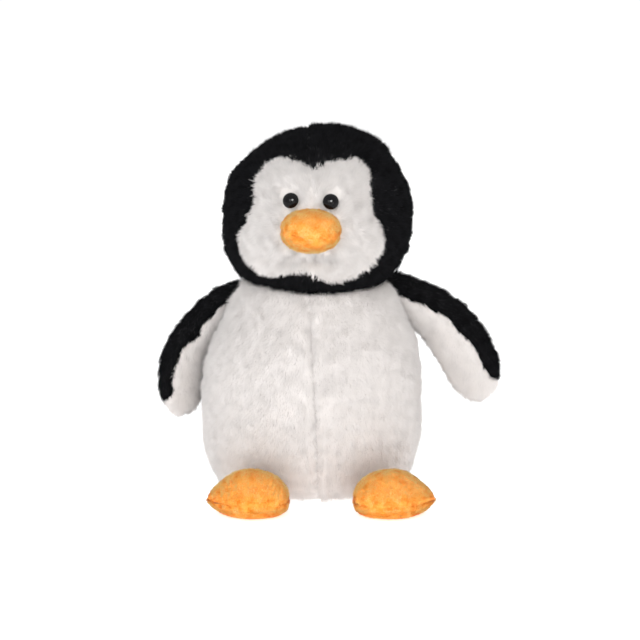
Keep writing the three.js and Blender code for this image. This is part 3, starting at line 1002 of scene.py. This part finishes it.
def under_head(form):
    """Dishes the top of the torso so that the head sits in it."""
    p = form.points
    power = head_fullness(-1)
    press = 0.5
    q = (p - HEAD_MIDDLE) / (HEAD_HALF[0] - press)
    room = 1 - np.hypot(q[:, 0], q[:, 1]) ** power
    dish = HEAD_MIDDLE[2] - (HEAD_HALF[2] - press) * np.maximum(room, 0) ** (1 / power)
    under = (room > 0) & (p[:, 2] > dish)
    p[under, 2] = dish[under]
    return form


def torso_lie(p):
    radial = unit(p * [1, 1, 0] + 1e-6)
    return unit(np.array([0, 0, -1.0]) + 0.12 * radial)


def make_torso():
    form = ringed(56, 92, torso_shape)
    p = form.points
    held = 0.8 * np.exp(-((off_belly_seam(p) / 4) ** 2))
    held = np.maximum(held, 0.8 * np.exp(-((off_side_seam(p) / 4) ** 2)))
    held = np.maximum(held, smooth(BASE_SEAM + 5 - p[:, 2], 0, 5))
    held = np.maximum(held, smooth(p[:, 2], 0.93 * TORSO_BOX.high[2], 0.97 * TORSO_BOX.high[2]))
    form = finer(stuffed(form, held, most=3.5))
    form = under_head(form)
    form = settle_on_seams(form, (off_belly_seam, off_side_seam))
    form = sew(form, [(off_belly_seam, belly_seam_depth), (off_side_seam, 1.5)])
    form.points[:, 2] = np.maximum(form.points[:, 2], 0.4)

    def which(p):
        base = off_base_seam(p) < 0
        sided = 2 * (off_side_seam(p) > 0) + (off_belly_seam(p) < 0)
        return np.where(base, 4, sided)

    names = ("belly_panel_left", "belly_panel_right", "back_panel_left", "back_panel_right", "base_panel")
    panels = panels_of(form, [f"soft_{n}" for n in names], which)

    def gap(p):
        squashed = (p - HEAD_MIDDLE) * [1, 1, HEAD_HALF[0] / HEAD_HALF[2]]
        in_dish = HEAD_HALF[0] - np.linalg.norm(squashed, axis=1)
        middle = np.abs(off_belly_seam(p)) + 0.2
        side = np.abs(off_side_seam(p)) + 0.4
        return np.min([middle, side, -in_dish + 1.5, p[:, 2] - 2], axis=0)

    for k, (name, panel) in enumerate(panels.items()):
        node = name.removeprefix("soft_")
        kind = "black" if node.startswith("back") else "white"
        replaced = [node, "torso_stuffing"] if node == "belly_panel_left" else [node]
        groom = None if node == "base_panel" else LONG
        seed = 300 + 10 * k
        soft_panel(name, panel, kind, Joinery("torso"), replaced, groom, torso_lie, gap, seed)


# ---- Flippers ------------------------------------------------------------------------------------------
FLIPPER_WIDTHS = [15.5, 18.5, 21.5, 23.5, 24.5, 23.5, 20.5]  # half widths from shoulder to tip
FLIPPER_THICKNESS = 0.56  # as a share of the width
FLIPPER_LENGTH = 120.0
FLIPPER_INSET = LONG_PILE * 0.85
FLIPPER_TIP = 0.76  # where the rounding of the tip starts, as a share of the length


class Flipper:
    """One flipper.

    line is its middle from shoulder to tip, out and down from the upper inner corner of its room. twist is
    how far its inner side is turned to the front, and wrap how far the black panel comes round its edge,
    both in degrees.
    """

    def __init__(self, side, line, twist, wrap):
        self.name = side
        self.side = 1 if side == "left" else -1
        self.box = Box(f"flipper_{side}_inner", f"flipper_{side}_outer")
        corner = (self.box.low[0] if self.side > 0 else self.box.high[0], self.box.high[2])
        points = [(corner[0] + self.side * x, self.box.middle[1], corner[1] - z) for x, z in line]
        self.line = even_curve(points, 60)
        self.twist = math.radians(twist)
        self.wrap = math.radians(wrap)

    def half_width(self, share):
        return np.interp(share, np.linspace(0, 1, len(FLIPPER_WIDTHS)), FLIPPER_WIDTHS)

    def frame(self, share):
        """Its middle and the directions along it, to its leading edge and to its inner side."""
        at = np.linspace(0, 1, len(self.line))
        middle = np.stack([np.interp(share, at, self.line[:, k]) for k in range(3)], axis=1)
        tangents = unit(np.gradient(self.line, axis=0))
        along = unit(np.stack([np.interp(share, at, tangents[:, k]) for k in range(3)], axis=1))
        outward = self.side * np.stack([-along[:, 2], np.zeros(len(along)), along[:, 0]], axis=1)
        forward = np.array([0, -1.0, 0])
        c, s = math.cos(self.twist), math.sin(self.twist)
        return middle, along, outward * c + forward * s, forward * c - outward * s

    def shape(self, share, angle):
        middle, along, across, inner = self.frame(share)
        tip = np.clip((share - FLIPPER_TIP) / (1 - FLIPPER_TIP), 0, 1)
        taper = np.sqrt(np.clip(1 - tip**2.3, 0, 1)) * np.sqrt(np.clip(share / 0.05, 0, 1) * 0.6 + 0.4)
        taper = taper * (share > 0)
        width = self.half_width(share)
        wide = ((width - FLIPPER_INSET) * taper * np.cos(angle))[:, None]
        thick = ((width * FLIPPER_THICKNESS - FLIPPER_INSET) * taper * np.sin(angle))[:, None]
        return middle + across * wide + inner * thick

    def around(self, p):
        """For each point its share along the flipper, how far it lies towards the leading edge and towards
        the inner side, and the half width there."""
        share = np.zeros(len(p))
        for k in range(0, len(p), 20000):
            off = np.linalg.norm(p[k : k + 20000, None] - self.line[None], axis=2)
            share[k : k + 20000] = off.argmin(axis=1) / (len(self.line) - 1)
        middle, along, across, inner = self.frame(share)
        d = p - middle
        share = share + np.sum(d * along, axis=1) / FLIPPER_LENGTH
        middle, along, across, inner = self.frame(np.clip(share, 0, 1))
        d = p - middle
        width = self.half_width(share)
        return share, np.sum(d * across, axis=1), np.sum(d * inner, axis=1), width

    def off_seam(self, p):
        """How far a point is to the white, inner side of the seams, less than 0 on the black."""
        share, wide, deep, width = self.around(p)
        thick = width * FLIPPER_THICKNESS
        lead = self.wrap * (1 - 0.5 * share)
        rise = np.sin(lead) * thick
        reach = np.cos(lead) * width
        ragged = 0.9 * Ripple(77 + self.side, 13.0)(p)
        across = (wide + width) / (reach + width)
        white_tip = 14 * smooth(share, 0.86, 0.93)
        return deep - rise * across**3 + ragged + 1.5 * (1 - across) + white_tip

    def lie(self, p):
        share = self.around(p)[0]
        along = self.frame(np.clip(share, 0, 1))[1]
        return unit(along + np.array([0, 0, -0.35]))


FLIPPERS = (
    Flipper("left", [(-17, 8), (5, 18), (30, 34.5), (47, 56), (57, 77), (63, 97)], 14, 84),
    Flipper("right", [(-17, 1), (0, 9), (17.5, 27), (31, 48), (36, 70), (37, 97)], 42, 66),
)


def make_flipper(flipper):
    form = ringed(40, 40, flipper.shape)
    held = 0.9 * np.exp(-((flipper.off_seam(form.points) / 3) ** 2))
    held = np.maximum(held, smooth(70 - flipper.side * form.points[:, 0], 0, 8))
    form = finer(stuffed(form, held, most=2.0))
    form = settle_on_seams(form, (flipper.off_seam,))
    form = sew(form, [(flipper.off_seam, 1.0)])
    names = [f"soft_flipper_{flipper.name}_inner", f"soft_flipper_{flipper.name}_outer"]
    panels = panels_of(form, names, lambda p: (flipper.off_seam(p) < 0).astype(int))

    def gap(p):
        return np.abs(flipper.off_seam(p)) + 0.8

    bend_start, bend_end = flipper.line[4], flipper.line[20]
    joinery = Joinery(f"flipper_{flipper.name}", bend_start, bend_end)
    for k, (name, panel) in enumerate(panels.items()):
        kind = ("white", "black")[k]
        node = name.removeprefix("soft_")
        replaced = [node, f"flipper_{flipper.name}_stuffing"] if k else [node]
        seed = 400 + 10 * k + 50 * (flipper.side > 0)
        soft_panel(name, panel, kind, joinery, replaced, LONG, flipper.lie, gap, seed)


# ---- Feet ----------------------------------------------------------------------------------------------
# Half depth of a foot as a share of the most, along it from the inner end to the pointed outer tip.
FOOT_PROFILE = [
    (-1.0, 0.0),
    (-0.93, 0.42),
    (-0.66, 0.80),
    (-0.2, 0.99),
    (0.25, 0.93),
    (0.62, 0.62),
    (0.9, 0.24),
    (1.0, 0.0),
]
FOOT_SEAM = 11.0  # how high the seam is
FOOT_FLOOR = 0.8  # how high the sole lies
FOOT_BEND = 16.0  # how far forward from its heel the end of the foot's joinery lies


def foot_form(side, box):
    sign = 1 if side == "left" else -1

    def shape(share, angle):
        at = curve(FOOT_PROFILE, share)
        along, radius = at[:, 0], np.maximum(at[:, 1], 0)
        half = box.size / 2 - SHORT_PILE
        x = box.middle[0] + sign * along * half[0]
        y = box.middle[1] + radius * np.cos(angle) * half[1] + 2.0 * along
        up = np.sin(angle)
        above = box.high[2] - SHORT_PILE - FOOT_SEAM
        below = FOOT_SEAM - FOOT_FLOOR
        flat_sole = np.maximum(radius * up * 1.5, -1)
        z = FOOT_SEAM + np.where(up > 0, radius * up * above, flat_sole * below)
        return np.stack([x, y, z], axis=1)

    return ringed(34, 44, shape)


def off_foot_seam(p):
    return p[:, 2] - FOOT_SEAM


def foot_lie(p):
    return unit(np.tile([0.0, -1.0, -0.25], (len(p), 1)))


def make_foot(side):
    box = Box(f"foot_{side}_upper", f"foot_{side}_sole")
    form = foot_form(side, box)
    held = np.exp(-((off_foot_seam(form.points) / 2.5) ** 2))
    held = np.maximum(held, smooth(3 - form.points[:, 2], 0, 2))
    form = finer(stuffed(form, held, most=0.9))
    form = settle_on_seams(form, (off_foot_seam,), 0.9)
    form = sew(form, [(off_foot_seam, 0.3)])
    form.points[:, 2] = np.maximum(form.points[:, 2], 0.5)
    names = [f"soft_foot_{side}_upper", f"soft_foot_{side}_sole"]
    panels = panels_of(form, names, lambda p: (off_foot_seam(p) < 0).astype(int))

    def gap(p):
        clipped_shaded_band = np.abs(off_foot_seam(p) - 2) + 1.5  # painted shade and clipped locks lie in a band just above the seam
        return np.minimum(clipped_shaded_band, p[:, 2] - FOOT_FLOOR)

    start = np.array([box.middle[0], box.high[1] + 2, FOOT_SEAM])
    joinery = Joinery(f"foot_{side}", start, start + np.array([0, -FOOT_BEND, 0]))
    for k, (name, panel) in enumerate(panels.items()):
        node = name.removeprefix("soft_")
        replaced = [node, f"foot_{side}_stuffing"] if k == 0 else [node]
        seed = 500 + 10 * k + 50 * (side == "left")
        soft_panel(name, panel, "orange", joinery, replaced, SHORT, foot_lie, gap, seed)


# ---- Pieces inside -------------------------------------------------------------------------------------
def finish_inner_pieces():
    washer = moulded_plastic("washer_plastic", colour(0.85, 0.85, 0.85))
    pouch = backing_cloth("pouch_cloth", colour(0.70, 0.64, 0.55), 0.1)
    finishes = {"eye_washer_left": washer, "eye_washer_right": washer, "pellet_pouch": pouch}
    for name, material in finishes.items():
        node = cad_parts[name]
        node.data.materials.clear()
        node.data.materials.append(material)


# ---- Studio --------------------------------------------------------------------------------------------
def make_floor():
    bpy.ops.mesh.primitive_plane_add(size=8, location=(0, 0, 0))
    floor = bpy.context.object
    floor.name = "floor"
    f = Finish("floor_paper")
    grain = f.noise(300, 3)
    shade = f.mix(grain, colour(0.975, 0.975, 0.975), colour(0.985, 0.985, 0.985))
    lit_table = {"emission_color": colour(1, 1, 1), "emission_strength": 0.55}
    floor.data.materials.append(f.surface(base_color=shade, roughness=0.9, **lit_table))


def make_world(strength):
    world = bpy.data.worlds.new("studio")
    bpy.context.scene.world = world
    world.use_nodes = True
    backdrop = world.node_tree.nodes["Background"]
    backdrop.inputs["Color"].default_value = colour(1, 1, 1)
    backdrop.inputs["Strength"].default_value = strength


def softbox(name, place, aim, size, power, tint=(1, 1, 1)):
    data = bpy.data.lights.new(name, "AREA")
    data.shape = "SQUARE"
    data.size = size
    data.energy = power
    data.color = tint
    lamp = bpy.data.objects.new(name, data)
    lamp.location = place
    lamp.rotation_euler = (Vector(aim) - Vector(place)).to_track_quat("-Z", "Y").to_euler()
    bpy.context.scene.collection.objects.link(lamp)
    return lamp


def make_camera(elevation, distance, lens, aim):
    data = bpy.data.cameras.new("camera")
    data.lens = lens
    data.sensor_width = 36
    camera = bpy.data.objects.new("camera", data)
    angle = math.radians(elevation)
    target = Vector(aim)
    camera.location = target + Vector((0, -math.cos(angle), math.sin(angle))) * distance
    camera.rotation_euler = (target - camera.location).to_track_quat("-Z", "Y").to_euler()
    bpy.context.scene.collection.objects.link(camera)
    bpy.context.scene.camera = camera


make_camera(elevation=8, distance=1.7, lens=125.0, aim=(0.0036, -0.02, 0.1364))
make_floor()
make_world(1.05)
AIM = (0, 0, 0.15)
softbox("key", (-0.5, -1.7, 0.95), AIM, 0.9, 12)
softbox("fill", (0.9, -1.7, 0.2), AIM, 1.0, 6, (1.0, 0.92, 0.85))
glint = softbox("glint", (0.3, -1.5, 0.95), AIM, 0.6, 45)
glint.visible_diffuse = False  # it only shows in what is polished
bpy.context.scene.view_settings.view_transform = "Standard"

make_torso()
make_head()
make_beak()
for eye_side in ("left", "right"):
    make_eye(eye_side)
    make_foot(eye_side)
for each_flipper in FLIPPERS:
    make_flipper(each_flipper)
finish_inner_pieces()

bpy.context.view_layer.update()
